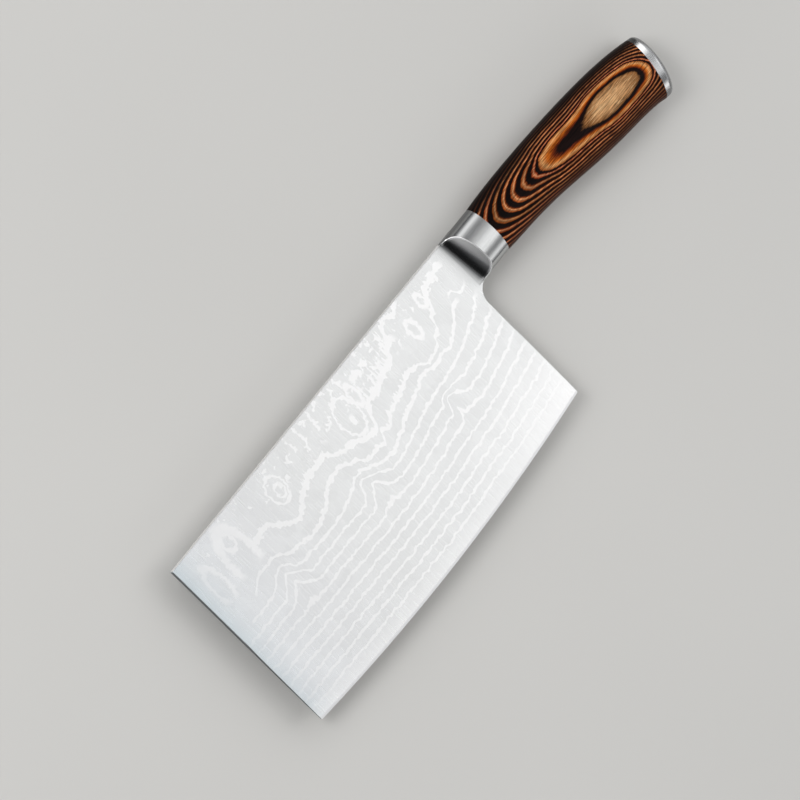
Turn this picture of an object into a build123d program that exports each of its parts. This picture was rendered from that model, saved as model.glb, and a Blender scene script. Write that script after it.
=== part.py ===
"""Rectangular kitchen cleaver on its side: +X to the butt, +Y to the spine, +Z out of the left face.

The blade is one sheet of steel with a short stub tang. The bolster is slotted onto its neck, scooped down to
the blade's faces and welded. A rod is welded to the stub tang and runs through the laminated wood handle to a
washer and a nut in a counterbore, which the butt cap closes.
"""

import os
from math import atan, atan2, cos, degrees, hypot, radians, sin, tan

from build123d import *

os.makedirs("parts", exist_ok=True)

# Blade sheet
blade_length = 187.4
blade_height_front = 94.8
blade_height_heel = 91.2
edge_belly = 4.4
blade_thickness = 2.6
corner_radius = 0.8
neck_fillet = 8.2
sheet_ease = 0.3

# Grinds of the blade, each height measured up from the cutting edge
grind_height = 44.0
edge_zone_height = 12.5
edge_zone_thickness = 1.3
behind_edge_thickness = 0.5
bevel_height = 1.1
tip_thickness = 0.08

# Bolster, an oval steel collar
bolster_height = 25.6
bolster_thickness = 16.3
bolster_length = 20.85
bolster_setback = 2.65
scoop_radius = 8.2
scoop_turn = 6.0
rim_ease = 0.3
neck_seat = 8.0
neck_recess = 0.15

# Stub tang, cut in one with the blade
tang_height = 14.0
tang_reach = 39.0
tang_notch_radius = 2.0
tang_notch_setback = 6.0

# Handle of laminated wood
handle_length = 103.3
handle_drop = 9.7
palm_height = 32.0
palm_thickness = 19.8
butt_tilt = 11.9
station_shares = (0.0, 0.18, 0.4, 0.6, 0.8, 1.0)
drop_shares = (0.0, 0.02, 0.17, 0.4, 0.62, 1.0)
height_shares = (0.855, 0.92, 0.99, 1.0, 0.97)
thickness_shares = (0.865, 0.93, 0.985, 1.0, 0.975)
tenon_length = 7.0
tenon_wall = 2.4
tenon_clearance = 0.1
resin_gap = 0.5

# Tang rod, washer and nut
rod_diameter = 6.0
rod_setback = 15.0
rod_fork_depth = 13.0
rod_tip_chamfer = 0.8
rod_stand_out = 1.2
washer_diameter = 12.0
washer_thickness = 1.6
washer_bore_clearance = 0.2
nut_across_flats = 10.0
nut_height = 5.0
nut_corner_angle = 30.0
thread_clearance = 0.02

# Butt cap
cap_thickness = 5.5
cap_end_share = 0.96
cap_dome_radius = 110.0
cap_rim_radius = 2.8
counterbore_diameter = 14.4
spigot_length = 3.0
spigot_clearance = 0.15
spigot_wall = 1.6
tip_clearance = 0.4

overrun = 5.0

# Main places, from the middle of the overall length and height
blade_depth = (blade_height_front + blade_height_heel) / 2 + edge_belly
butt_reach = cap_thickness + palm_height / 2 * sin(radians(butt_tilt)) / 2
overall_length = blade_length + bolster_setback + bolster_length + handle_length + butt_reach
front_x = -overall_length / 2
heel_x = front_x + blade_length
bolster_front_x = heel_x + bolster_setback
bolster_rear_x = bolster_front_x + bolster_length
neck_end_x = bolster_front_x + neck_seat
tang_end_x = neck_end_x + tang_reach
tenon_front_x = bolster_rear_x - tenon_length
spine_y = blade_depth / 2
bolster_axis_y = spine_y - bolster_height / 2
neck_under_y = spine_y - bolster_height
middle_z = palm_thickness / 2
half_sheet = blade_thickness / 2
half_neck = half_sheet - neck_recess

# The cutting edge is one shallow arc, and every grind is a cone about its centre
front_bottom = (front_x, spine_y - blade_height_front)
heel_bottom = (heel_x, spine_y - blade_height_heel)
edge_chord = hypot(blade_length, blade_height_front - blade_height_heel)
edge_slope = atan2(blade_height_front - blade_height_heel, blade_length)
edge_radius = edge_chord**2 / (8 * edge_belly) + edge_belly / 2
edge_middle = (
    (front_bottom[0] + heel_bottom[0]) / 2 + edge_belly * sin(edge_slope),
    (front_bottom[1] + heel_bottom[1]) / 2 - edge_belly * cos(edge_slope),
)
edge_centre = (
    edge_middle[0] - edge_radius * sin(edge_slope),
    edge_middle[1] + edge_radius * cos(edge_slope),
)
edge_sweep = degrees(2 * edge_chord / edge_radius)


def tilted_plane(origin, tilt):
    """A plane across the handle: its normal dips from +X by tilt, its own x axis points to the spine."""
    angle = radians(tilt)
    return Plane(origin=origin, x_dir=(sin(angle), cos(angle), 0), z_dir=(cos(angle), -sin(angle), 0))


# Sections of the handle: each stands square to the curved axis, and the last one is the tilted butt
axis_xs = [bolster_rear_x + handle_length * share for share in station_shares]
axis_ys = [bolster_axis_y - handle_drop * share for share in drop_shares]
tilts = [0.0]
for before, after in zip(range(0, len(axis_xs) - 2), range(2, len(axis_xs))):
    tilts.append(degrees(atan2(axis_ys[before] - axis_ys[after], axis_xs[after] - axis_xs[before])))
tilts.append(butt_tilt)
half_heights = [bolster_height / 2] + [palm_height / 2 * share for share in height_shares]
half_thicknesses = [bolster_thickness / 2] + [palm_thickness / 2 * share for share in thickness_shares]
butt_plane = tilted_plane((axis_xs[-1], axis_ys[-1], middle_z), butt_tilt)

# The rod runs straight from the bolster's axis to the middle of the butt
rod_plane = tilted_plane(
    (bolster_rear_x, bolster_axis_y, middle_z), degrees(atan(handle_drop / handle_length))
)
rod_run = hypot(handle_length, handle_drop)
spigot_start = rod_run - spigot_length
rod_end = spigot_start - tip_clearance
nut_start = rod_end - rod_stand_out - nut_height
counterbore_floor = nut_start - washer_thickness
bore_radius = rod_diameter / 2 + resin_gap

# Blade: sheet, eased all round, with the neck let in on both faces for the bolster, and the stub tang
with BuildPart() as blade:
    with BuildSketch(Plane.XY.offset(middle_z)) as sheet:
        with BuildLine():
            Polyline((neck_end_x, neck_under_y), (neck_end_x, spine_y), (front_x, spine_y), front_bottom)
            ThreePointArc(front_bottom, edge_middle, heel_bottom)
            Polyline(heel_bottom, (heel_x, neck_under_y), (neck_end_x, neck_under_y))
        make_face()
        corners = sheet.vertices().group_by(Axis.X)
        fillet(corners[0] + corners[1].sort_by(Axis.Y)[:1], radius=corner_radius)
        neck_corner = sheet.vertices().sort_by_distance((heel_x, neck_under_y, 0))[0]
        fillet(neck_corner, radius=neck_fillet)
    extrude(amount=half_sheet, both=True)
    neck_end = blade.faces().sort_by(Axis.X)[-1]
    rims = blade.edges().filter_by(Plane.XY)
    fillet([edge for edge in rims if edge not in neck_end.edges()], radius=sheet_ease)
    for side in (1, -1):
        with BuildSketch(Plane.XY.offset(middle_z + side * half_neck)):
            with Locations((bolster_front_x, bolster_axis_y)):
                Rectangle(neck_seat + overrun, bolster_height, align=(Align.MIN, Align.CENTER))
        extrude(amount=side * overrun, mode=Mode.SUBTRACT)
    with BuildSketch(Plane.XY.offset(middle_z)):
        with Locations((neck_end_x + tang_reach / 2, bolster_axis_y)):
            Rectangle(tang_reach, tang_height)
        with Locations(
            (tang_end_x - tang_notch_setback, bolster_axis_y + tang_height / 2),
            (tang_end_x - tang_notch_setback, bolster_axis_y - tang_height / 2),
        ):
            Circle(tang_notch_radius, mode=Mode.SUBTRACT)
    extrude(amount=half_neck, both=True)
    # Each face is ground flat to the edge zone, thinned again to the bevel, and bevelled to the tip
    start = edge_slope - radians(edge_sweep) / 2
    outward = (sin(start), -cos(start), 0)
    grind_plane = Plane(
        origin=(*edge_centre, middle_z), x_dir=outward, z_dir=(-cos(start), -sin(start), 0)
    )
    with BuildSketch(grind_plane):
        for side in (1, -1):
            with BuildLine():
                Polyline(
                    (edge_radius - grind_height, side * half_sheet),
                    (edge_radius - edge_zone_height, side * edge_zone_thickness / 2),
                    (edge_radius - bevel_height, side * behind_edge_thickness / 2),
                    (edge_radius, side * tip_thickness / 2),
                    (edge_radius + overrun, side * tip_thickness / 2),
                    (edge_radius + overrun, side * (half_sheet + overrun)),
                    (edge_radius - grind_height, side * (half_sheet + overrun)),
                    close=True,
                )
            make_face()
    revolve(
        axis=Axis((*edge_centre, 0), (0, 0, 1)), revolution_arc=edge_sweep, mode=Mode.SUBTRACT
    )

# Bolster: oval prism, scooped down to the blade's faces, slotted for the neck and hollow behind
with BuildPart() as bolster:
    with BuildSketch(Plane.YZ.offset(bolster_front_x)):
        with Locations((bolster_axis_y, middle_z)):
            Ellipse(bolster_height / 2, bolster_thickness / 2)
    extrude(amount=bolster_length)
    # The scoops begin at the front's spine end and draw back a little towards the lower side
    scoop_rise = half_sheet + scoop_radius
    turn = radians(scoop_turn)
    scoop_plane = Plane(
        origin=(bolster_front_x, spine_y, middle_z),
        x_dir=(cos(turn), sin(turn), 0),
        z_dir=(sin(turn), -cos(turn), 0),
    )
    with BuildSketch(scoop_plane):
        with Locations((0, scoop_rise), (0, -scoop_rise)):
            Circle(scoop_radius)
            Rectangle(scoop_radius, 2 * scoop_radius, align=(Align.MAX, Align.CENTER))
    extrude(amount=2 * bolster_height, both=True, mode=Mode.SUBTRACT)
    scoops = bolster.faces().filter_by(GeomType.CYLINDER)
    fillet(scoops.edges().filter_by(GeomType.LINE, reverse=True), radius=rim_ease)
    with BuildSketch(Plane.XY.offset(middle_z)):
        with Locations(((bolster_front_x + neck_end_x - overrun) / 2, bolster_axis_y)):
            Rectangle(neck_seat + overrun, bolster_height + overrun)
        with Locations(((bolster_front_x + bolster_rear_x) / 2, bolster_axis_y)):
            Rectangle(bolster_length + overrun, tang_height)
    extrude(amount=half_neck, both=True, mode=Mode.SUBTRACT)
    with BuildSketch(Plane.YZ.offset(tenon_front_x - tenon_clearance)):
        with Locations((bolster_axis_y, middle_z)):
            Ellipse(bolster_height / 2 - tenon_wall, bolster_thickness / 2 - tenon_wall)
    extrude(amount=tenon_length + overrun, mode=Mode.SUBTRACT)

# Tang rod: forked over the stub tang, chamfered at its threaded end
with BuildPart() as tang_rod:
    with BuildSketch(rod_plane.offset(rod_setback)):
        Circle(rod_diameter / 2)
    extrude(amount=rod_end - rod_setback)
    chamfer(tang_rod.edges().sort_by(Axis.X)[-1], length=rod_tip_chamfer)
    with BuildSketch(rod_plane.offset(rod_setback - overrun)):
        Rectangle(rod_diameter + overrun, 2 * half_neck)
    extrude(amount=rod_fork_depth + overrun, mode=Mode.SUBTRACT)

# Handle: one loft from the bolster's oval to the tilted butt, with tenon, slot, bore and counterbore
with BuildPart() as handle_block:
    for x, y, tilt, half_height, half_thickness in zip(
        axis_xs, axis_ys, tilts, half_heights, half_thicknesses
    ):
        with BuildSketch(tilted_plane((x, y, middle_z), tilt)):
            Ellipse(half_height, half_thickness)
    loft()
    tenon_inset = tenon_wall + tenon_clearance
    with BuildSketch(Plane.YZ.offset(tenon_front_x)):
        with Locations((bolster_axis_y, middle_z)):
            Ellipse(bolster_height / 2 - tenon_inset, bolster_thickness / 2 - tenon_inset)
    extrude(amount=tenon_length)
    with BuildSketch(Plane.YZ.offset(tenon_front_x)):
        with Locations((bolster_axis_y, middle_z)):
            Rectangle(tang_height + 2 * resin_gap, 2 * (half_neck + resin_gap))
    extrude(amount=tang_end_x + resin_gap - tenon_front_x, mode=Mode.SUBTRACT)
    with BuildSketch(rod_plane.offset(rod_setback - resin_gap)):
        Circle(bore_radius)
    extrude(amount=rod_run - rod_setback + resin_gap, mode=Mode.SUBTRACT)
    with BuildSketch(rod_plane.offset(counterbore_floor)):
        Circle(counterbore_diameter / 2)
    extrude(amount=rod_run - counterbore_floor + overrun, mode=Mode.SUBTRACT)

# Resin: fills the slot and the bore round the stub tang and the rod
with BuildPart() as resin_fill:
    with BuildSketch(Plane.YZ.offset(tenon_front_x)):
        with Locations((bolster_axis_y, middle_z)):
            Rectangle(tang_height + 2 * resin_gap, 2 * (half_neck + resin_gap))
    extrude(amount=tang_end_x + resin_gap - tenon_front_x)
    with BuildSketch(rod_plane.offset(rod_setback - resin_gap)):
        Circle(bore_radius)
    extrude(amount=counterbore_floor - rod_setback + resin_gap)
    add(blade.part, mode=Mode.SUBTRACT)
    add(tang_rod.part, mode=Mode.SUBTRACT)

# Washer on the counterbore's floor
with BuildPart() as tang_washer:
    with BuildSketch(rod_plane.offset(counterbore_floor)):
        Circle(washer_diameter / 2)
        Circle(rod_diameter / 2 + washer_bore_clearance, mode=Mode.SUBTRACT)
    extrude(amount=washer_thickness)

# Nut, with the corners of its outer end turned off
with BuildPart() as tang_nut:
    with BuildSketch(rod_plane.offset(nut_start)):
        RegularPolygon(radius=nut_across_flats / 2, side_count=6, major_radius=False)
        Circle(rod_diameter / 2 + thread_clearance, mode=Mode.SUBTRACT)
    extrude(amount=nut_height)
    with Locations(rod_plane.offset(nut_start)):
        Cone(
            bottom_radius=nut_across_flats / 2 + nut_height / tan(radians(nut_corner_angle)),
            top_radius=nut_across_flats / 2,
            height=nut_height,
            align=(Align.CENTER, Align.CENTER, Align.MIN),
            mode=Mode.INTERSECT,
        )

# Butt cap: carries the handle's last section on, domed and rounded, with a hollow spigot in the counterbore
with BuildPart() as butt_cap:
    with BuildSketch(butt_plane):
        Ellipse(half_heights[-1], half_thicknesses[-1])
    with BuildSketch(butt_plane.offset(cap_thickness + overrun)):
        Ellipse(half_heights[-1] * cap_end_share, half_thicknesses[-1] * cap_end_share)
    loft()
    dome_centre = butt_plane.offset(cap_thickness - cap_dome_radius).origin
    with Locations(Plane(origin=dome_centre, x_dir=(-1, 0, 0), z_dir=(0, 0, 1))):
        Sphere(cap_dome_radius, mode=Mode.INTERSECT)
    fillet(butt_cap.faces().filter_by(GeomType.SPHERE).edges(), radius=cap_rim_radius)
    spigot_radius = counterbore_diameter / 2 - spigot_clearance
    with BuildSketch(rod_plane.offset(spigot_start)):
        Circle(spigot_radius)
    extrude(amount=spigot_length + cap_thickness / 2)
    with BuildSketch(rod_plane.offset(spigot_start)):
        Circle(spigot_radius - spigot_wall)
    extrude(amount=spigot_length, mode=Mode.SUBTRACT)

blade.part.label = "blade"
bolster.part.label = "bolster"
tang_rod.part.label = "tang_rod"
handle_block.part.label = "handle_block"
resin_fill.part.label = "resin_fill"
tang_washer.part.label = "tang_washer"
tang_nut.part.label = "tang_nut"
butt_cap.part.label = "butt_cap"

export_step(blade.part, "parts/blade.step")
export_step(bolster.part, "parts/bolster.step")
export_step(tang_rod.part, "parts/tang_rod.step")
export_step(handle_block.part, "parts/handle_block.step")
export_step(resin_fill.part, "parts/resin_fill.step")
export_step(tang_washer.part, "parts/tang_washer.step")
export_step(tang_nut.part, "parts/tang_nut.step")
export_step(butt_cap.part, "parts/butt_cap.step")

for piece in (blade, bolster, tang_rod, handle_block, resin_fill, tang_washer, tang_nut, butt_cap):
    box = piece.part.bounding_box()
    print(
        piece.part.label,
        len(piece.part.solids()),
        piece.part.is_valid,
        round(piece.part.volume),
        [round(value, 2) for value in (*box.min, *box.max)],
    )
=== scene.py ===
from math import cos, hypot, pi, radians, sin, sqrt

import bpy
from mathutils import Matrix, Vector


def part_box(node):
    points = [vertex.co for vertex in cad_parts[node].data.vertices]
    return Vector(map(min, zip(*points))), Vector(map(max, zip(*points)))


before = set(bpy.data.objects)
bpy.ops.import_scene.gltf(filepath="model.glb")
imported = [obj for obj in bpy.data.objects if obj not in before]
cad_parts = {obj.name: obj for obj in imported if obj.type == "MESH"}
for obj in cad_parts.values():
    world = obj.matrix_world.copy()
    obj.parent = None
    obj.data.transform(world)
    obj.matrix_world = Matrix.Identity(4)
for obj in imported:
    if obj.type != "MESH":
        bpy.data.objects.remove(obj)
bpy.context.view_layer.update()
bpy.context.scene.view_settings.view_transform = "Standard"

# Floor, world and lamps: a plain pale sheet of studio paper under soft light. Long pale panels overhead,
# with quieter grey between them, give the polished steel something to reflect.


def to_linear(code):
    """Turns an sRGB hex code into a linear colour with full alpha."""
    channels = [int(code[i : i + 2], 16) / 255 for i in (1, 3, 5)]
    return [c / 12.92 if c <= 0.04045 else ((c + 0.055) / 1.055) ** 2.4 for c in channels] + [1.0]


def add(tree, kind, inputs=(), stops=(), **settings):
    """Adds a shader node with its settings, its inputs by place or name, and a ramp's or curve's stops.

    A Mix node's inputs have no names of their own: 0 is the share, 2 and 3 are two numbers, whose mix is
    output 0, and 6 and 7 are two colours, whose mix is output 2.
    """
    node = tree.nodes.new("ShaderNode" + kind)
    for name, value in settings.items():
        setattr(node, name, value)
    for key, value in inputs.items() if isinstance(inputs, dict) else enumerate(inputs):
        if isinstance(value, bpy.types.Node):
            value = next(output for output in value.outputs if output.enabled)
        if isinstance(value, bpy.types.NodeSocket):
            tree.links.new(value, node.inputs[key])
        else:
            node.inputs[key].default_value = value
    if kind == "ValToRGB":
        elements = node.color_ramp.elements
        while len(elements) < len(stops):
            elements.new(1.0)
        for element, (place, code) in zip(elements, stops):
            element.position = place
            element.color = to_linear(code)
    if kind == "FloatCurve":
        points = node.mapping.curves[0].points
        while len(points) < len(stops):
            points.new(1.0, 1.0)
        for point, stop in zip(points, stops):
            point.location = stop
        node.mapping.update()
    return node


def new_material(name):
    """Makes a node material with its surface shader, and gives the material, its tree and the shader."""
    material = bpy.data.materials.new(name)
    material.use_nodes = True
    tree = material.node_tree
    tree.nodes.clear()
    shader = add(tree, "BsdfPrincipled")
    add(tree, "OutputMaterial", {"Surface": shader})
    return material, tree, shader


# Most of a noise's values lie between these two
noise_low, noise_high = 0.3, 0.7

# Uncoated paper is matt all over, with a faint mottle in patches about 300 mm across
floor_material, tree, shader = new_material("matt_studio_paper")
paper_mottle = add(tree, "TexNoise", {"Vector": add(tree, "TexCoord").outputs["Object"], "Scale": 3.0})
paper_stops = ((noise_low, "#D0CFCC"), (noise_high, "#D4D3D0"))
paper_colour = add(tree, "ValToRGB", [paper_mottle], stops=paper_stops)
tree.links.new(paper_colour.outputs[0], shader.inputs["Base Color"])
shader.inputs["Roughness"].default_value = 0.85

bpy.ops.object.select_all(action="DESELECT")
bpy.ops.mesh.primitive_plane_add(size=12.0, location=(0.0, 0.0, 0.0))
floor = bpy.context.object
floor.name = "studio_floor"
floor.data.materials.append(floor_material)

world = bpy.data.worlds.new("studio")
bpy.context.scene.world = world
world.use_nodes = True
tree = world.node_tree
tree.nodes.clear()
direction = add(tree, "SeparateXYZ", [add(tree, "TexCoord").outputs["Generated"]])
# The panels lie along the knife, each stop at a roll about its length: 0 degrees is overhead, 90 is level
# on the spine's side
roll = add(tree, "Math", (direction.outputs["Y"], direction.outputs["Z"]), operation="ARCTAN2")
roll_share = add(tree, "MapRange", (roll, -pi, pi))
panels = (
    (-108, "#A0A0A0"),
    (-96, "#505051"),
    (-84, "#606061"),
    (-75, "#B4B4B4"),
    (-69, "#F8F8F8"),
    (-62, "#E4E4E4"),
    (-56, "#B4B4B4"),
    (-50, "#868687"),
    (-44, "#7C7C7D"),
    (-38, "#B0B0B0"),
    (-32, "#F0F0F0"),
    (-26, "#FFFFFF"),
    (-13, "#FFFFFF"),
    (-6, "#E6E6E6"),
    (3, "#C8C8C8"),
    (12, "#AAAAAA"),
    (20, "#8E8E8F"),
    (27, "#787879"),
    (35, "#8C8C8D"),
    (45, "#C8C8C8"),
    (52, "#F8F8F8"),
    (60, "#F4F4F4"),
    (68, "#BEBEBE"),
    (76, "#8A8A8B"),
    (84, "#6A6A6B"),
    (100, "#8A8A8B"),
)
panel_colour = add(
    tree, "ValToRGB", [roll_share], stops=[((degrees + 180) / 360, code) for degrees, code in panels]
)
# A dark card hangs beside the overhead panel, for the scoops to reflect, and pales towards its front end
card_tone = add(
    tree,
    "ValToRGB",
    [add(tree, "MapRange", (direction.outputs["X"], -1.0, 0.2))],
    stops=(
        (0.0, "#D8D8D8"),
        (0.07, "#949495"),
        (0.13, "#78787A"),
        (0.42, "#2C2C2D"),
        (0.6, "#1A1A1B"),
        (0.88, "#202021"),
    ),
)
card = 1.0
for axis, stops in (("X", (0.26, 0.0)), ("Y", (-0.02, -0.12)), ("Y", (-0.7, -0.6)), ("Z", (-0.3, -0.1))):
    side = add(tree, "MapRange", (direction.outputs[axis], *stops), interpolation_type="SMOOTHSTEP")
    card = add(tree, "Math", (card, side), operation="MULTIPLY")
studio_colour = add(tree, "Mix", {0: card, 6: panel_colour, 7: card_tone}, data_type="RGBA")
# A pale card beyond the butt lights the spine end of the cap
butt_card = 1.0
for along, stops in ((direction.outputs["X"], (0.38, 0.46)), (roll, (0.1, 0.2)), (roll, (0.95, 0.85))):
    side = add(tree, "MapRange", (along, *stops))
    butt_card = add(tree, "Math", (butt_card, side), operation="MULTIPLY")
studio_colour = add(
    tree, "Mix", {0: butt_card, 6: studio_colour.outputs[2], 7: to_linear("#FFFFFF")}, data_type="RGBA"
)
background = add(tree, "Background", {"Color": studio_colour.outputs[2], "Strength": 1.28})
add(tree, "OutputWorld", {"Surface": background})


def add_lamp(name, place, size, power):
    """Hangs a square soft lamp at a place and turns it to the knife."""
    data = bpy.data.lights.new(name, "AREA")
    data.size = size
    data.energy = power
    lamp = bpy.data.objects.new(name, data)
    bpy.context.collection.objects.link(lamp)
    lamp.location = place
    lamp.rotation_euler = Vector(place).to_track_quat("Z", "Y").to_euler()


add_lamp("key_softbox", place=(-0.9, 1.3, 1.5), size=0.9, power=16.0)
add_lamp("fill_softbox", place=(1.2, -0.6, 1.2), size=0.9, power=3.0)

# Camera: far off on a long lens, tipped from square over the blade towards its spine and its front edge,
# and rolled so that the knife stands on its lower front corner, as in the photograph.

lean_to_spine = 0.2901
lean_to_front = 0.2959
spine_rise = radians(50.79)
picture_pixels = 800
metres_per_pixel = 0.4293e-3
corner_pixel = (169.8, 572.3)
camera_distance = 8.0
sensor_width = 36.0

blade_low, blade_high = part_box("blade")
front_corner = Vector((blade_low[0], blade_high[1], blade_low[2]))
to_camera = Vector((-lean_to_front, lean_to_spine, sqrt(1 - lean_to_front**2 - lean_to_spine**2)))
along_spine = (Vector((1, 0, 0)) - to_camera[0] * to_camera).normalized()
across_blade = to_camera.cross(along_spine)
picture_right = cos(spine_rise) * along_spine - sin(spine_rise) * across_blade
picture_up = sin(spine_rise) * along_spine + cos(spine_rise) * across_blade
middle_pixel = picture_pixels / 2
aim = (
    front_corner
    + picture_right * (middle_pixel - corner_pixel[0]) * metres_per_pixel
    + picture_up * (corner_pixel[1] - middle_pixel) * metres_per_pixel
)
camera_data = bpy.data.cameras.new("camera")
camera_data.sensor_width = sensor_width
camera_data.lens = sensor_width * camera_distance / (picture_pixels * metres_per_pixel)
camera = bpy.data.objects.new("camera", camera_data)
bpy.context.collection.objects.link(camera)
turn = Matrix((picture_right, picture_up, to_camera)).transposed()
camera.matrix_world = Matrix.Translation(aim + to_camera * camera_distance) @ turn.to_4x4()
bpy.context.scene.camera = camera

# Blade: one sheet of high-carbon stainless steel, ground flat to a thin edge and satin finished. A laser
# has etched it with the wavy lines of folded steel, which stand whiter than the grey ground between them.

millimetres = 1000.0
blade_length = 187.4
height_front = 94.8
height_heel = 91.2
edge_belly = 4.4
edge_chord = hypot(blade_length, height_front - height_heel)
edge_radius = edge_chord**2 / (8 * edge_belly) + edge_belly / 2
chord_middle = Vector((blade_length / 2, -(height_front + height_heel) / 2))
to_centre = Vector((height_heel - height_front, blade_length)).normalized()
edge_centre = chord_middle + to_centre * (edge_radius - edge_belly)


def add_places(tree):
    """Gives places in millimetres: x back from the front edge, y up from the spine, z out of the sheet."""
    origin = (blade_low[0], blade_high[1], (blade_low[2] + blade_high[2]) / 2)
    return add(
        tree,
        "Mapping",
        {
            "Vector": add(tree, "TexCoord").outputs["Object"],
            "Location": [-millimetres * value for value in origin],
            "Scale": (millimetres,) * 3,
        },
    )


def add_profile(tree, along, points):
    """Gives the value that a smooth curve through the points has at each place along."""
    places_along, values = zip(*points)
    first, last, low, high = places_along[0], places_along[-1], min(values), max(values)
    share = add(tree, "MapRange", (along, first, last))
    stops = [((place - first) / (last - first), (value - low) / (high - low)) for place, value in points]
    curve = add(tree, "FloatCurve", {"Value": share}, stops=stops)
    return add(tree, "MapRange", (curve, 0.0, 1.0, low, high))


# A satin grind blurs what the steel reflects into a soft even grey, on which the etch stands matt and pale
blade_steel, tree, shader = new_material("satin_etched_stainless_steel")
places = add_places(tree)
axes = add(tree, "SeparateXYZ", [places])
x, y = axes.outputs["X"], axes.outputs["Y"]

# Height above the curved cutting edge
from_centre = add(tree, "VectorMath", (places, (*edge_centre, 0.0)), operation="SUBTRACT")
from_centre = add(tree, "VectorMath", (from_centre, (1.0, 1.0, 0.0)), operation="MULTIPLY")
centre_distance = add(tree, "VectorMath", [from_centre], operation="LENGTH")
above_edge = add(tree, "Math", (edge_radius, centre_distance), operation="SUBTRACT")

# The lines climb towards the heel, and fan out there by the square of their height over its foot
heel_foot = -85.0
climb = add_profile(tree, x, ((95, 0.0), (110, 0.4), (130, 1.8), (160, 3.9), (187, 7.7)))
fan = add_profile(tree, x, ((95, 0.0), (110, 0.0004), (130, 0.0021), (160, 0.0028), (187, 0.0042)))
above_heel = add(tree, "Math", (y, -heel_foot), operation="ADD")
height_squared = add(tree, "Math", (above_heel, 2.0), operation="POWER")
fanned = add(tree, "Math", (height_squared, fan, climb), operation="MULTIPLY_ADD")
level = add(tree, "Math", (y, fanned), operation="SUBTRACT")

# Three places where the lines are pushed up into pointed arches, which widen towards the spine: each has
# its middle, its drift and widening per millimetre, its reaches, rise and top, and how far it dies out
arches = (
    (35.5, 0.0, 0.55, 8.5, 9.5, 8.6, -45.3, 14.0, 60.0),
    (92.0, -0.45, 0.62, 9.0, 11.0, 9.0, -45.3, 15.0, 60.0),
    (143.4, 0.0, 0.2, 3.6, 11.5, 7.4, -47.5, 15.0, 5.0),
)
for middle, drift, widening, reach_front, reach_back, rise, top, fall_below, fall_above in arches:
    over_top = add(tree, "Math", (y, top), operation="SUBTRACT")
    above_top = add(tree, "Math", (over_top, 0.0), operation="MAXIMUM")
    centre = add(tree, "Math", (above_top, drift, middle), operation="MULTIPLY_ADD")
    aside = add(tree, "Math", (x, centre), operation="SUBTRACT")
    front_reach = add(tree, "Math", (above_top, -widening, -reach_front), operation="MULTIPLY_ADD")
    back_reach = add(tree, "Math", (above_top, widening, reach_back), operation="MULTIPLY_ADD")
    away_front = add(tree, "Math", (aside, front_reach), operation="DIVIDE")
    away_back = add(tree, "Math", (aside, back_reach), operation="DIVIDE")
    away = add(tree, "Math", (away_front, away_back), operation="MAXIMUM")
    side = add(tree, "MapRange", (away, 0.0, 1.0, 1.0, 0.0))
    below = add(tree, "MapRange", (over_top, -fall_below, 0.0, 0.0, 1.0))
    over = add(tree, "MapRange", (over_top, 0.0, fall_above, 1.0, 0.0))
    near_top = add(tree, "Math", (below, over), operation="MULTIPLY")
    share = add(tree, "Math", (side, near_top), operation="MULTIPLY")
    level = add(tree, "Math", (share, -rise, level), operation="MULTIPLY_ADD")

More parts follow.
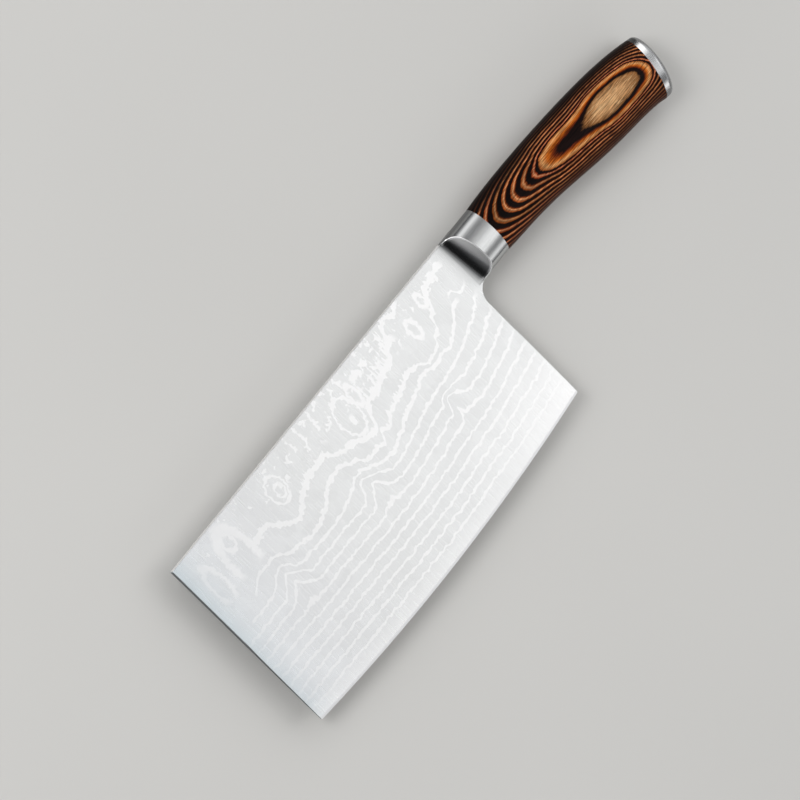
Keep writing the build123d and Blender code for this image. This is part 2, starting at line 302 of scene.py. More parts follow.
# The upper lines, from the spine down. Each has the places that it runs through, then its half width and
# the height of the teeth that stand on it, both at places along it
upper_lines = (
    (
        (
            *((34, -18.5), (37, -20.5), (42, -19.5), (48, -23), (53, -27), (57, -28.5)),
            *((61, -27), (64, -25), (70, -22.5), (76, -20), (86, -20), (89, -24)),
            *((96, -26), (101, -27.5), (105, -30), (109, -30.5), (112, -28.5), (113.5, -24)),
            *((116, -22), (118, -20), (122, -20), (127, -18), (131, -17), (136, -15.5)),
            *((138, -14), (140, -11.5), (143, -9.5), (146, -11)),
        ),
        (
            *((34, 1.4), (48, 1.4), (57, 1.1), (66, 1.7), (78, 1.5), (90, 1.3)),
            *((106, 1.2), (113, 1.7), (120, 1.7), (146, 1.2)),
        ),
        (
            *((34, 0.8), (60, 1.2), (80, 2.0), (100, 1.2), (112, 1.2), (118, 6.5)),
            *((130, 9.5), (138, 9.5), (143, 6.0), (146, 1.0)),
        ),
    ),
    (
        ((141, -9.5), (143.5, -6), (145, -2.6), (149, -1.4), (152, -3), (155, -1.8), (158, -0.4)),
        ((141, 1.2), (145, 1.5), (149, 1.2), (158, 1.1)),
        ((141, 0.8), (158, 1.5)),
    ),
    (
        (
            *((19, -36), (22, -34), (27, -31), (33, -31), (38, -31.5), (42, -35)),
            *((46, -36.5), (52, -37), (56, -38.5), (62, -37.5), (66, -36.5), (71, -34)),
            *((75, -30.5), (80, -29), (86, -28.5), (91, -31), (95, -33), (99, -36.5)),
            *((104, -36), (109, -37), (112, -33), (116, -34.5), (119, -31.5), (128, -29)),
            *((133, -28), (138, -26), (141, -26), (145, -27), (149, -29.5), (157, -28)),
            *((159, -24.5), (162, -23.5), (164, -18.5), (167, -16), (169, -11), (171, -8)),
            *((178, -5.5), (185, -5)),
        ),
        (
            *((19, 0.5), (50, 0.8), (66, 1.0), (80, 0.95), (100, 0.85), (118, 0.95)),
            *((134, 1.05), (145, 0.75), (156, 0.7), (160, 1.0), (167, 1.6), (174, 1.8)),
            *((185, 0.8),),
        ),
        (
            *((19, 0.0), (60, 0.5), (100, 0.5), (113, 0.8), (120, 2.4), (138, 2.4)),
            *((146, 0.5), (185, 0.5)),
        ),
    ),
    (
        (
            *((9, -43), (18, -42.5), (24, -42), (30, -38.5), (35, -36.5), (38, -37)),
            *((43, -42), (54, -43), (64, -43.5), (70, -43), (75, -41.5), (80, -40.5)),
            *((85, -38.5), (90, -37), (95, -38.5), (99, -40.5), (103, -42.5), (109, -43)),
            *((114, -41), (119, -40), (122, -38), (129, -36), (138, -34), (141, -31.5)),
            *((146, -32), (151, -33), (155, -32), (160, -32.5), (163, -31), (168, -28.5)),
            *((172, -25), (175, -22), (178.5, -21.5)),
        ),
        (
            *((9, 0.5), (60, 0.6), (90, 0.7), (124, 0.8), (146, 0.8), (160, 0.65)),
            *((168, 0.95), (178.5, 0.9)),
        ),
        ((9, 0.0), (100, 0.3), (122, 0.9), (140, 0.9), (150, 0.4), (178.5, 0.6)),
    ),
    (
        ((176.5, -18), (178, -16.8), (182, -20.5), (187, -18)),
        ((176.5, 0.6), (187, 0.8)),
        ((176.5, 0.4), (187, 0.5)),
    ),
)

# Every line wanders: slow swells, and short ragged steps of about half a millimetre
height = y
stretched = add(tree, "VectorMath", (places, (1.0, 0.35, 1.0)), operation="MULTIPLY")
for scale, detail, reach in ((0.07, 1.0, 1.2), (0.3, 5.0, 2.4)):
    wander = {"Vector": stretched, "Scale": scale, "Detail": detail}
    noise = add(tree, "TexNoise", wander, noise_dimensions="2D")
    centred = add(tree, "Math", (noise, 0.5), operation="SUBTRACT")
    height = add(tree, "Math", (centred, reach, height), operation="MULTIPLY_ADD")
    level = add(tree, "Math", (centred, reach, level), operation="MULTIPLY_ADD")
ragged = add(tree, "TexNoise", {"Vector": places, "Scale": 0.42, "Detail": 4.0}, noise_dimensions="2D")
ragged_share = add(tree, "MapRange", (ragged, 0.36, 0.64, 0.5, 1.5))
# Teeth stand a millimetre or two apart along the lines
tooth_places = add(tree, "VectorMath", (places, (0.75, 0.12, 1.0)), operation="MULTIPLY")
tooth_inputs = {"Vector": tooth_places, "Scale": 1.0, "Detail": 3.0}
tooth_noise = add(tree, "TexNoise", tooth_inputs, noise_dimensions="2D")
tooth = add(tree, "MapRange", (tooth_noise, 0.47, 0.7))

# Below the upper lines they run 5.1 mm apart. Every line's border is soft, from 0.15 mm inside it to
# 0.3 mm outside
line_pitch = 5.1
first_line = -48.2
half_line = 0.5
border = (-0.15, 0.3, 1.0, 0.0)
from_first = add(tree, "Math", (level, -first_line), operation="ADD")
line_distance = add(tree, "Math", (from_first, line_pitch / 2), operation="PINGPONG")
lower_half = add(tree, "Math", (ragged_share, half_line), operation="MULTIPLY")
past_line = add(tree, "Math", (line_distance, lower_half), operation="SUBTRACT")
is_lower = add(tree, "Math", (from_first, line_pitch / 2), operation="LESS_THAN")
figure = add(tree, "MapRange", (past_line, *border), interpolation_type="SMOOTHSTEP")
figure = add(tree, "Math", (figure, is_lower), operation="MULTIPLY")
for run, half_widths, teeth in upper_lines:
    off_line = add(tree, "Math", (height, add_profile(tree, x, run)), operation="SUBTRACT")
    half_width = add(tree, "Math", (add_profile(tree, x, half_widths), ragged_share), operation="MULTIPLY")
    over_line = add(tree, "Math", (off_line, half_width), operation="SUBTRACT")
    tooth_height = add(tree, "Math", (add_profile(tree, x, teeth), tooth), operation="MULTIPLY")
    over_line = add(tree, "Math", (over_line, tooth_height), operation="SUBTRACT")
    below_line = add(tree, "Math", (off_line, -1.0), operation="MULTIPLY")
    under_line = add(tree, "Math", (below_line, half_width), operation="SUBTRACT")
    past_line = add(tree, "Math", (over_line, under_line), operation="MAXIMUM")
    line = add(tree, "MapRange", (past_line, *border), interpolation_type="SMOOTHSTEP")
    for end, inwards in ((run[0][0], 1.0), (run[-1][0], -1.0)):
        inside = add(tree, "MapRange", (x, end - inwards, end + inwards))
        line = add(tree, "Math", (line, inside), operation="MULTIPLY")
    figure = add(tree, "Math", (figure, line), operation="MAXIMUM")

# Knots near the spine, each an oval ring with its middle, half length, half height and half line, and the
# foot at which it is cut off, which most of them don't reach
ragged_push = add(tree, "VectorMath", (ragged.outputs["Color"], (0.5, 0.5, 0.5)), operation="SUBTRACT")
ragged_places = add(tree, "VectorMath", (ragged_push, (3.0, 3.0, 0.0), places), operation="MULTIPLY_ADD")
no_foot = -60.0
knots = (
    (10.5, -21.0, 3.8, 11.0, 0.9, -29.0),
    (27.0, -20.0, 6.8, 15.5, 1.6, -27.0),
    (27.0, -11.0, 2.8, 4.5, 0.8, no_foot),
    (59.5, -13.0, 4.9, 7.0, 0.55, no_foot),
    (60.3, -14.3, 2.1, 3.4, 0.45, no_foot),
    (106.0, -17.5, 5.8, 9.8, 0.5, no_foot),
    (106.3, -20.0, 0.5, 0.9, 1.0, no_foot),
    (114.5, -13.0, 2.2, 5.6, 0.7, no_foot),
    (154.8, -15.0, 2.5, 4.9, 0.75, no_foot),
    (166.2, -9.5, 1.7, 3.6, 0.7, no_foot),
)
for middle_x, middle_y, half_length, half_height, half_ring, foot in knots:
    from_knot = add(tree, "VectorMath", (ragged_places, (middle_x, middle_y, 0.0)), operation="SUBTRACT")
    shrink = (1 / half_length, 1 / half_height, 0.0)
    around = add(tree, "VectorMath", (from_knot, shrink), operation="MULTIPLY")
    rounds = add(tree, "VectorMath", [around], operation="LENGTH")
    off_ring = add(tree, "Math", (rounds, 1.0), operation="SUBTRACT")
    off_ring = add(tree, "Math", [off_ring], operation="ABSOLUTE")
    ring_edge = half_ring / half_length
    ring = add(tree, "MapRange", (off_ring, ring_edge * 0.6, ring_edge * 1.3, 1.0, 0.0))
    over_foot = add(tree, "MapRange", (y, foot - 1.5, foot + 1.5))
    ring = add(tree, "Math", (ring, over_foot), operation="MULTIPLY")
    figure = add(tree, "Math", (figure, ring), operation="MAXIMUM")

# Loose blotches 3 to 5 mm across between the upper line and the spine, most of them in the middle
blotch_places = add(tree, "VectorMath", (ragged_places, (0.34, 0.2, 1.0)), operation="MULTIPLY")
blotch_inputs = {"Vector": blotch_places, "Scale": 1.0, "Detail": 2.0}
blotch_noise = add(tree, "TexNoise", blotch_inputs, noise_dimensions="2D")
crowding_run = (
    *((50, 0.0), (68, 0.08), (80, 0.11), (112, 0.12)),
    *((130, 0.14), (146, 0.08), (160, 0.03), (187, 0.0)),
)
crowding = add_profile(tree, x, crowding_run)
crowded_noise = add(tree, "Math", (blotch_noise, crowding), operation="ADD")
blotches = add(tree, "MapRange", (crowded_noise, 0.7, 0.73))
blotch_part = add(tree, "MapRange", (y, -18.0, -13.0))
blotches = add(tree, "Math", (blotches, blotch_part), operation="MULTIPLY")
figure = add(tree, "Math", (figure, blotches), operation="MAXIMUM")

# The etch dies out towards the front edge, the cutting edge and the neck
front_run = ((0, 0.0), (6, 0.25), (20, 0.42), (36, 0.52), (60, 0.66), (90, 0.8), (120, 0.86))
front_fade = add_profile(tree, x, front_run)
edge_fade = add(tree, "MapRange", (above_edge, 5.0, 7.0))
neck_fade = add(tree, "MapRange", (x, 184.0, 188.0, 1.0, 0.0))
for fade in (front_fade, edge_fade, neck_fade):
    figure = add(tree, "Math", (figure, fade), operation="MULTIPLY")

# The ground is grey and cooler at the front edge. Towards the heel and the cutting edge a painted highlight
# pales it
ground_place = add(tree, "Math", (y, -0.04, x), operation="MULTIPLY_ADD")
ground = add(
    tree,
    "ValToRGB",
    [add(tree, "MapRange", (ground_place, 0.0, blade_length))],
    stops=(
        (0.01, "#C8D0D4"),
        (0.04, "#D4D8DB"),
        (0.08, "#DBDDDF"),
        (0.2, "#DBDCDD"),
        (0.4, "#DEDFDF"),
        (0.6, "#E0E1E1"),
    ),
)
heel_part = add(tree, "MapRange", (x, 110.0, blade_length))
low_part = add(tree, "MapRange", (above_edge, 36.0, 4.0))
to_heel = add(tree, "Math", (heel_part, low_part), operation="MULTIPLY")
edge_part = add(tree, "MapRange", (above_edge, 9.0, 1.0, 0.0, 0.5))
pale = add(tree, "Math", (to_heel, edge_part), operation="MAXIMUM")
# Its tone differs a little from patch to patch, each about 7 mm across
facets = add(tree, "TexVoronoi", {"Vector": ragged_places, "Scale": 0.14}, voronoi_dimensions="2D")
facet_tone = add(tree, "SeparateColor", [facets.outputs["Color"]])
facet_value = add(tree, "MapRange", (facet_tone, 0.0, 1.0, 0.975, 1.02))
ground = add(tree, "HueSaturation", {"Value": facet_value, "Color": ground})
# Painted highlight: the ground is painted paler towards the heel and the cutting edge
ground = add(tree, "Mix", {0: pale, 6: ground, 7: to_linear("#F0F0F0")}, data_type="RGBA")
etched = add(tree, "Mix", {0: figure, 6: ground, 7: to_linear("#FCFCFC")}, data_type="RGBA")
# Painted highlight: the bevel sharpened on the cutting edge, 1.1 mm high, is painted as pale as the etch
bevel = add(tree, "MapRange", (above_edge, 1.0, 1.15, 1.0, 0.0))
painted_bevel_and_neck = add(tree, "Mix", {0: bevel, 6: etched, 7: to_linear("#FCFCFD")}, data_type="RGBA")
# Painted shade: the neck is painted darker where it runs into the scoops, whose feet lie across it at a
# small angle. Each shade is a place past the foot and its share of the painted dark tone, and all fade out
# at the neck's lower side
scoop_turn = radians(6.0)
scoop_start = (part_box("bolster")[0][0] - blade_low[0]) * millimetres
painted_shade_grey = to_linear("#58595A")
painted_foot_shades = (
    *((-8, 0), (-5, 0.07), (-3.2, 0.16), (-2.05, 0.28)),
    *((-1.46, 0.38), (-0.86, 0.55), (-0.26, 0.73)),
)
foot_end = (-27.0, -23.5)


def add_into_scoop(tree, x, y):
    """Gives how far a place lies past the foot of the scoops."""
    back = add(tree, "Math", (x, scoop_start), operation="SUBTRACT")
    turned_back = add(tree, "Math", (back, cos(scoop_turn)), operation="MULTIPLY")
    return add(tree, "Math", (y, sin(scoop_turn), turned_back), operation="MULTIPLY_ADD")


neck_painted_shade = add_profile(tree, add_into_scoop(tree, x, y), painted_foot_shades)
foot_fade = add(tree, "MapRange", (y, *foot_end))
neck_painted_shade = add(tree, "Math", (neck_painted_shade, foot_fade), operation="MULTIPLY")
painted_bevel_and_neck = add(tree, "Mix", {0: neck_painted_shade, 6: painted_bevel_and_neck.outputs[2], 7: painted_shade_grey}, data_type="RGBA")
# Painted shade: the front edge is painted duller and darker than the ground faces
front_edge_shade = add(tree, "MapRange", (x, 0.15, 0.05))
sheet = add(tree, "Mix", {0: front_edge_shade, 6: painted_bevel_and_neck.outputs[2], 7: to_linear("#6E7276")}, data_type="RGBA")
# Painted highlight: the spine is painted white, and made matt
spine_face = add(tree, "MapRange", (y, -0.15, -0.05))
sheet = add(tree, "Mix", {0: spine_face, 6: sheet.outputs[2], 7: to_linear("#FFFFFF")}, data_type="RGBA")
# Painted shade: within the bolster the spine is painted as dark as the bolster's own narrow side
in_bolster = add(tree, "MapRange", (x, scoop_start - 0.2, scoop_start + 0.4, 0.0, 0.8))
near_spine = add(tree, "MapRange", (y, -3.0, -1.0))
in_bolster = add(tree, "Math", (in_bolster, near_spine), operation="MULTIPLY")
sheet = add(tree, "Mix", {0: in_bolster, 6: sheet.outputs[2], 7: painted_shade_grey}, data_type="RGBA")
tree.links.new(sheet.outputs[2], shader.inputs["Base Color"])
shader.inputs["Metallic"].default_value = 1.0

# Satin scratches run from spine to edge, drawn 0.2 mm apart, coarser than the real ones so that they show
scratch_places = add(tree, "VectorMath", (places, (5.0, 0.12, 1.0)), operation="MULTIPLY")
scratches = add(tree, "TexNoise", {"Vector": scratch_places, "Scale": 1.0})
ground_roughness = add(tree, "MapRange", (scratches, noise_low, noise_high, 0.26, 0.34))
etched_roughness = add(tree, "Math", (figure, 0.1, ground_roughness), operation="MULTIPLY_ADD")
rough_part = add(tree, "Math", (bevel, spine_face), operation="MAXIMUM")
roughness = add(tree, "Mix", {0: rough_part, 2: etched_roughness, 3: 0.5})
tree.links.new(roughness.outputs[0], shader.inputs["Roughness"])
relief = add(tree, "Math", (figure, -0.6, scratches), operation="MULTIPLY_ADD")
bump = add(tree, "Bump", {"Height": relief, "Strength": 0.1, "Distance": 0.00003})
tree.links.new(bump.outputs[0], shader.inputs["Normal"])


def dress(node_name, material):
    """Gives a CAD node its finished material."""
    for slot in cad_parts[node_name].material_slots:
        slot.material = material


dress("blade", blade_steel)

# Bolster: cast stainless steel, welded on and satin brushed along the handle. The scoops are blended into
# the blade's faces: their feet carry a painted shade, and their rims a painted highlight.

bolster_half_height = 12.8
bolster_half_thickness = 8.15
half_sheet = 1.3
scoop_radius = 8.2


def new_brushed_steel(name, smooth, rough):
    """Makes a steel brushed along the handle, whose marks draw its reflections out into fine streaks.

    It gives the material, its tree and shader, the places' axes, the brushed tone and the roughness.
    """
    material, tree, shader = new_material(name)
    places = add_places(tree)
    # Brush marks drawn 0.15 mm apart, coarser than the real ones so that they show
    brush_places = add(tree, "VectorMath", (places, (0.1, 6.5, 6.5)), operation="MULTIPLY")
    brushing = add(tree, "TexNoise", {"Vector": brush_places, "Scale": 1.0, "Detail": 3.0})
    brushed = add(tree, "ValToRGB", [brushing], stops=((noise_low, "#C4C5C5"), (noise_high, "#D3D4D4")))
    shader.inputs["Metallic"].default_value = 1.0
    roughness = add(tree, "MapRange", (brushing, noise_low, noise_high, smooth, rough))
    tree.links.new(roughness.outputs[0], shader.inputs["Roughness"])
    bump = add(tree, "Bump", {"Height": brushing, "Strength": 0.06, "Distance": 0.00002})
    tree.links.new(bump.outputs[0], shader.inputs["Normal"])
    return material, tree, shader, add(tree, "SeparateXYZ", [places]), brushed, roughness


# Brushed finely, so that it still reflects the panels fairly clearly
bolster_steel, tree, shader, axes, brushed, brushed_roughness = new_brushed_steel(
    "brushed_stainless_steel", smooth=0.14, rough=0.22
)
x, y, z = axes.outputs["X"], axes.outputs["Y"], axes.outputs["Z"]
into_scoop = add_into_scoop(tree, x, y)
# How far a place is from the scoop's wall, which is round about an axis beside the sheet, and how near to
# the outer oval
off_middle = add(tree, "Math", [z], operation="ABSOLUTE")
off_axis = add(tree, "Math", (off_middle, half_sheet + scoop_radius), operation="SUBTRACT")
past_axis = add(tree, "Math", (into_scoop, 0.0), operation="MAXIMUM")
from_axis = add(tree, "CombineXYZ", (past_axis, off_axis, 0.0))
axis_distance = add(tree, "VectorMath", [from_axis], operation="LENGTH")
off_wall = add(tree, "Math", (axis_distance, scoop_radius), operation="SUBTRACT")
on_wall = add(tree, "MapRange", (off_wall, 0.05, 0.3, 1.0, 0.0))
rise_share = add(tree, "MapRange", (y, -2 * bolster_half_height, 0.0, -1.0, 1.0))
out_share = add(tree, "Math", (z, bolster_half_thickness), operation="DIVIDE")
oval_place = add(tree, "CombineXYZ", (rise_share, out_share, 0.0))
oval = add(tree, "VectorMath", [oval_place], operation="LENGTH")
at_skin = add(tree, "MapRange", (oval, 0.9, 0.95))
# Painted shade on the wall, darkest just past its foot and paling towards the rim, which carries a painted
# highlight
painted_wall_shades = ((0.3, 0.88), (0.62, 0.94), (1.2, 0.76), (2.5, 0.68), (4, 0.72), (6, 0.5), (8.2, 0.2))
scoop_painted_shade = add_profile(tree, into_scoop, painted_foot_shades + painted_wall_shades)
scoop_painted_shade = add(tree, "Math", (scoop_painted_shade, on_wall), operation="MULTIPLY")
foot_fade = add(tree, "MapRange", (y, *foot_end))
scoop_painted_shade = add(tree, "Math", (scoop_painted_shade, foot_fade), operation="MULTIPLY")
# Painted highlight: the wall near the rim is painted pale grey, and the rim itself white
past_foot = add(tree, "MapRange", (into_scoop, 0.5, 1.5))
rim_part = add(tree, "Math", (on_wall, at_skin), operation="MULTIPLY")
rim_part = add(tree, "Math", (rim_part, past_foot), operation="MULTIPLY")
rim_lean = 0.12
leaning_place = add(tree, "Math", (y, rim_lean, into_scoop), operation="MULTIPLY_ADD")
near_rim = add(tree, "MapRange", (leaning_place, 3.1, 6.2))
near_part = add(tree, "Math", (on_wall, near_rim), operation="MULTIPLY")
near_part = add(tree, "Math", (near_part, past_foot), operation="MULTIPLY")
scooped = add(tree, "Mix", {0: scoop_painted_shade, 6: brushed, 7: painted_shade_grey}, data_type="RGBA")
near_rim_highlight = add(tree, "Mix", {0: near_part, 6: scooped.outputs[2], 7: to_linear("#E4E4E4")}, data_type="RGBA")
rim_highlight = add(tree, "Mix", {0: rim_part, 6: near_rim_highlight.outputs[2], 7: to_linear("#FFFFFF")}, data_type="RGBA")
# Painted shade: the narrow sides are painted darker
to_narrow_side = add(tree, "Math", [rise_share], operation="ABSOLUTE")
narrow_side_shade = add(tree, "MapRange", (to_narrow_side, 0.8, 0.97, 0.0, 0.8))
off_scoop = add(tree, "MapRange", (on_wall, 0.0, 1.0, 1.0, 0.0))
narrow_side_shade = add(tree, "Math", (narrow_side_shade, off_scoop), operation="MULTIPLY")
# On the lower half they begin only 5 mm behind the scoops' feet
upper_half = add(tree, "MapRange", (y, -14.0, -12.0, 0.0, 20.0))
on_collar = add(tree, "Math", (upper_half, into_scoop), operation="ADD")
behind_foot = add(tree, "MapRange", (on_collar, 5.0, 7.0))
narrow_side_shade = add(tree, "Math", (narrow_side_shade, behind_foot), operation="MULTIPLY")
collar = add(tree, "Mix", {0: narrow_side_shade, 6: rim_highlight.outputs[2], 7: painted_shade_grey}, data_type="RGBA")
tree.links.new(collar.outputs[2], shader.inputs["Base Color"])
# The feet are a little more matt than the rest, and the walls near the rims still more
foot_part = add(tree, "MapRange", (into_scoop, 1.0, 0.0))
foot_part = add(tree, "Math", (foot_part, on_wall), operation="MULTIPLY")
foot_roughness = add(tree, "Mix", {0: foot_part, 2: brushed_roughness, 3: 0.3})
rim_roughness = add(tree, "Mix", {0: near_part, 2: foot_roughness, 3: 0.6})
tree.links.new(rim_roughness.outputs[0], shader.inputs["Roughness"])
dress("bolster", bolster_steel)

# Handle: birch veneers, dyed dark and tan in turn, soaked in resin and pressed into one block, then turned
# and polished. The curved surface cuts the layers into nested loops round a pale eye.

veneer_tilt = 0.116
eye_height = 7.93
eye_foot = -1.59
# Polished, resin-filled wood: sharp dark and tan bands under a low sheen, with no gloss of varnish
wood, tree, shader = new_material("laminated_dyed_veneer")
places = add_places(tree)
axes = add(tree, "SeparateXYZ", [places])
x, y, z = axes.outputs["X"], axes.outputs["Y"], axes.outputs["Z"]
# The layers are stacked through the thickness, tilted a little. The press has bowed them along the handle,
# and the eye is at their crown
bow_run = (
    *((211, -4.44), (219, -3.35), (231.5, -1.97), (244, -1.2), (253, -0.7), (272, -0.65)),
    *((289, 0.0), (306, -0.19), (309, -0.39), (313.5, -0.9), (322, -2.08)),
)
bow = add_profile(tree, x, bow_run)
tilted = add(tree, "Math", (y, veneer_tilt, z), operation="MULTIPLY_ADD")
level = add(tree, "Math", (tilted, bow), operation="ADD")
level = add(tree, "Math", (level, -eye_height), operation="ADD")
# Each layer ripples, in long swells and in short waves
for stretch, scale, detail, reach in (
    ((0.25, 1.0, 1.0), 0.12, 1.0, 0.3),
    ((0.25, 1.0, 1.0), 0.6, 1.0, 0.12),
    ((0.3, 4.0, 4.0), 1.0, 2.0, 0.16),
):
    stretched = add(tree, "VectorMath", (places, stretch), operation="MULTIPLY")
    ripple = add(tree, "TexNoise", {"Vector": stretched, "Scale": scale, "Detail": detail})
    centred = add(tree, "Math", (ripple, 0.5), operation="SUBTRACT")
    level = add(tree, "Math", (centred, reach, level), operation="MULTIPLY_ADD")

# Below the eye dark and tan veneers lie by turns, each pair with its own dye. The pairs get thicker down
# to the middle of the block and thinner again beyond it: each stop is a depth and the pairs above it
depth = add(tree, "Math", (eye_foot, level), operation="SUBTRACT")
pair_stops = (
    *((0, 0), (0.4, 1), (1.0, 2), (1.75, 3), (2.6, 4), (3.6, 5), (4.7, 6), (6.0, 7), (7.5, 8)),
    *((10.5, 10), (13.0, 12), (15.0, 15), (18.5, 22)),
)
pair_depth = add_profile(tree, depth, pair_stops)
in_pair = add(tree, "Math", [pair_depth], operation="FRACT")
pair_number = add(tree, "Math", [pair_depth], operation="FLOOR")
veneers = add(
    tree,
    "ValToRGB",
    [in_pair],
    stops=(
        (0.0, "#0C0403"),
        (0.42, "#120604"),
        (0.54, "#8E4416"),
        (0.68, "#C08A5C"),
        (0.84, "#944A1A"),
        (0.97, "#0E0504"),
    ),
)
pair_dye = add(tree, "TexWhiteNoise", {"W": pair_number}, noise_dimensions="1D")
dye = add(tree, "SeparateColor", [pair_dye.outputs["Color"]])
dye_value = add(tree, "MapRange", (dye.outputs[0], 0.0, 1.0, 0.7, 1.15))
dye_hue = add(tree, "MapRange", (dye.outputs[1], 0.0, 1.0, 0.485, 0.505))
# Thin glue lines and thinner veneers show within the deeper pairs
sheet_count = add(tree, "Math", (pair_depth, 4.0), operation="MULTIPLY")
sheet_share = add(tree, "Math", (sheet_count, 0.5), operation="PINGPONG")
sheet_value = add(tree, "MapRange", (sheet_share, 0.0, 0.5, 0.55, 1.3))
deep = add(tree, "MapRange", (pair_depth, 1.0, 3.0))
sheet_value = add(tree, "Mix", {0: deep, 2: 1.0, 3: sheet_value})
off_middle = add(tree, "Math", [z], operation="ABSOLUTE")
deep_value = add(tree, "MapRange", (off_middle, 1.5, 6.0, 0.6, 1.0))
veneer_value = add(tree, "Math", (dye_value, deep_value), operation="MULTIPLY")
veneer_value = add(tree, "Math", (veneer_value, sheet_value), operation="MULTIPLY")
veneers = add(tree, "HueSaturation", {"Hue": dye_hue, "Value": veneer_value, "Color": veneers})
# The far half is cut from browner veneers
far_half = add(tree, "MapRange", (z, 0.0, -3.0))
veneers = add(
    tree, "Mix", {0: far_half, 6: veneers, 7: to_linear("#2A130A")}, data_type="RGBA", blend_type="LIGHTEN"
)
# The eye is cut from the topmost veneers, the last of them thick and pale
eye = add(
    tree,
    "ValToRGB",
    [add(tree, "MapRange", (level, -1.7, 0.1))],
    stops=(
        (0.0, "#0C0403"),
        (0.05, "#180904"),
        (0.09, "#9A5426"),
        (0.2, "#C48E58"),
        (0.32, "#AE5816"),
        (0.41, "#602408"),
        (0.46, "#120605"),
        (0.58, "#130706"),
        (0.63, "#8A5C34"),
        (1.0, "#C69A6C"),
    ),
)
in_eye = add(tree, "MapRange", (level, eye_foot - 0.03, eye_foot + 0.03))
layers = add(tree, "Mix", {0: in_eye, 6: veneers.outputs[2], 7: eye}, data_type="RGBA")
# Fibres and pores about 8 mm long, drawn 0.4 mm across, coarser than the real ones so that they show
fibre_places = add(tree, "VectorMath", (places, (0.13, 2.4, 2.4)), operation="MULTIPLY")
fibres = add(tree, "TexNoise", {"Vector": fibre_places, "Scale": 1.0, "Detail": 4.0, "Roughness": 0.6})
fibre_value = add(tree, "MapRange", (fibres, 0.36, 0.64, 0.4, 1.6))
grained = add(tree, "HueSaturation", {"Value": fibre_value, "Color": layers.outputs[2]})
# In the eye the cut runs along one thick veneer, whose filled pores show as pale streaks. They are drawn
# 0.5 mm across, coarser than the real ones
streak_places = add(tree, "VectorMath", (places, (0.16, 1.9, 1.9)), operation="MULTIPLY")
streak_inputs = {"Vector": streak_places, "Scale": 1.0, "Detail": 3.0, "Roughness": 0.65}
streak_noise = add(tree, "TexNoise", streak_inputs)
streaks = add(tree, "MapRange", (streak_noise, 0.54, 0.68, 0.0, 0.7))
in_thick_veneer = add(tree, "MapRange", (level, -0.6, -0.4))
streaks = add(tree, "Math", (streaks, in_thick_veneer), operation="MULTIPLY")
grained = add(tree, "Mix", {0: streaks, 6: grained, 7: to_linear("#E6C08E")}, data_type="RGBA")
# Painted shade: the block is painted darker along its two narrow sides, and nearly black along the spine
axis_run = ((211, -12.8), (229, -13.0), (252, -14.4), (273, -16.7), (294, -18.8), (314, -22.5))
axis_y = add_profile(tree, x, axis_run)
over_axis = add(tree, "Math", (y, axis_y), operation="SUBTRACT")
shade_edge = add_profile(tree, x, ((211, 9.5), (240, 11.0), (262, 13.0), (314, 13.2)))
past_edge = add(tree, "Math", (over_axis, shade_edge), operation="SUBTRACT")
spine_painted_shade = add(tree, "MapRange", (past_edge, -2.5, 2.5, 0.0, 0.95), interpolation_type="SMOOTHSTEP")
low_painted_shade = add(tree, "MapRange", (over_axis, -7.0, -13.0, 0.0, 0.75), interpolation_type="SMOOTHSTEP")
low_shade_brown = to_linear("#32170C")
spine_shade_black = to_linear("#0D0706")
low_shaded = add(tree, "Mix", {0: low_painted_shade, 6: grained.outputs[2], 7: low_shade_brown}, data_type="RGBA")
finished = add(tree, "Mix", {0: spine_painted_shade, 6: low_shaded.outputs[2], 7: spine_shade_black}, data_type="RGBA")
tree.links.new(finished.outputs[2], shader.inputs["Base Color"])
wood_roughness = add(tree, "MapRange", (fibres, noise_low, noise_high, 0.4, 0.3))
tree.links.new(wood_roughness.outputs[0], shader.inputs["Roughness"])
shader.inputs["Specular IOR Level"].default_value = 0.06
bump = add(tree, "Bump", {"Height": fibres, "Strength": 0.15, "Distance": 0.00005})
tree.links.new(bump.outputs[0], shader.inputs["Normal"])
dress("handle_block", wood)

# Butt cap: a domed oval piece of stainless steel, whose hollow spigot is pushed into the handle's end. Its
# band is then linished by hand along with the wood, which leaves it duller than the bolster.

# Linished more coarsely than the bolster is brushed, so that its reflections are softer
cap_steel, tree, shader, axes, brushed, _ = new_brushed_steel(
    "linished_stainless_steel", smooth=0.22, rough=0.3
)
cap_rows = [(corner[1] - blade_high[1]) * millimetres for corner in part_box("butt_cap")]
band_share = add(tree, "MapRange", (axes.outputs["Y"], *cap_rows))
# Painted highlight and shade along the band, from its lower end up to the spine: a painted bright spot near
# each end, greyer between them and darker at the ends
band_stops = (
    *((0.03, "#88898A"), (0.1, "#A0A1A2"), (0.14, "#FFFFFF"), (0.2, "#FFFFFF"), (0.27, "#A6A7A8")),
    *((0.5, "#AAABAC"), (0.72, "#B8B9BA"), (0.8, "#FFFFFF"), (0.88, "#FFFFFF"), (0.94, "#58595A")),
)
band_light_and_shade = add(tree, "ValToRGB", [band_share], stops=band_stops)
cap_tone = add(tree, "Mix", {0: 0.25, 6: band_light_and_shade, 7: brushed}, data_type="RGBA", blend_type="MULTIPLY")
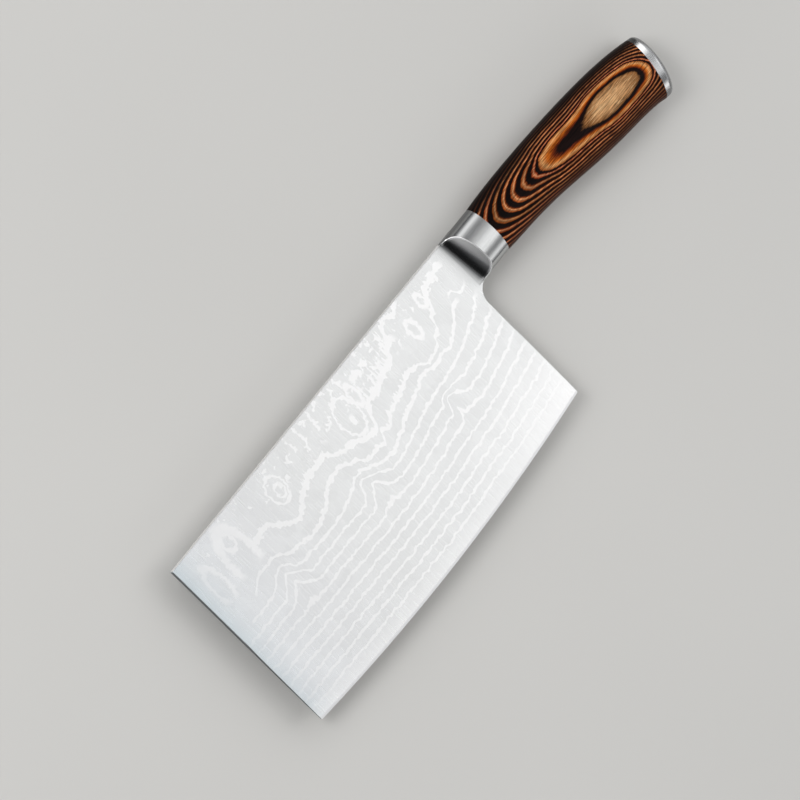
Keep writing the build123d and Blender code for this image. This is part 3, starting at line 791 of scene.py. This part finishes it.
# The band ends square to the tilted butt, and the dome beyond it is painted darker, a painted shade
butt_tilt = radians(11.9)
band_end = 314.3
band_blend = 0.6
sloped = add(tree, "Math", (axes.outputs["Y"], -sin(butt_tilt)), operation="MULTIPLY")
along_cap = add(tree, "Math", (axes.outputs["X"], cos(butt_tilt), sloped), operation="MULTIPLY_ADD")
dome = add(tree, "MapRange", (along_cap, band_end, band_end + band_blend))
cap_tone = add(tree, "Mix", {0: dome, 6: cap_tone.outputs[2], 7: to_linear("#9A9B9C")}, data_type="RGBA")
tree.links.new(cap_tone.outputs[2], shader.inputs["Base Color"])
dress("butt_cap", cap_steel)

# Tang rod, washer and nut: turned mild steel, all hidden in the handle. The rod is welded to the stub
# tang, and the nut on its thread draws the washer and the handle up to the bolster.

# A lathe leaves fine rings 0.1 mm apart, which give plain steel a dull grey shine
rod_steel, tree, shader = new_material("turned_mild_steel")
turning_places = add(tree, "VectorMath", (add_places(tree), (9.0, 0.3, 0.3)), operation="MULTIPLY")
turning = add(tree, "TexNoise", {"Vector": turning_places, "Scale": 1.0})
turned = add(tree, "ValToRGB", [turning], stops=((noise_low, "#8E8C88"), (noise_high, "#A6A4A0")))
tree.links.new(turned.outputs[0], shader.inputs["Base Color"])
shader.inputs["Metallic"].default_value = 1.0
turned_roughness = add(tree, "MapRange", (turning, noise_low, noise_high, 0.34, 0.46))
tree.links.new(turned_roughness.outputs[0], shader.inputs["Roughness"])
for node_name in ("tang_rod", "tang_washer", "tang_nut"):
    dress(node_name, rod_steel)

# Resin: amber epoxy, poured into the handle's bore round the tang and the rod and cured there. It holds
# them fast and keeps water out.

# Cured in the bore, it has a smooth amber skin, faintly clouded in patches 2.5 mm across
epoxy, tree, shader = new_material("cured_epoxy")
cloud = add(tree, "TexNoise", {"Vector": add_places(tree), "Scale": 0.4, "Detail": 3.0})
amber = add(tree, "ValToRGB", [cloud], stops=((noise_low, "#A88A52"), (noise_high, "#C2A86E")))
tree.links.new(amber.outputs[0], shader.inputs["Base Color"])
cured_roughness = add(tree, "MapRange", (cloud, noise_low, noise_high, 0.25, 0.35))
tree.links.new(cured_roughness.outputs[0], shader.inputs["Roughness"])
dress("resin_fill", epoxy)
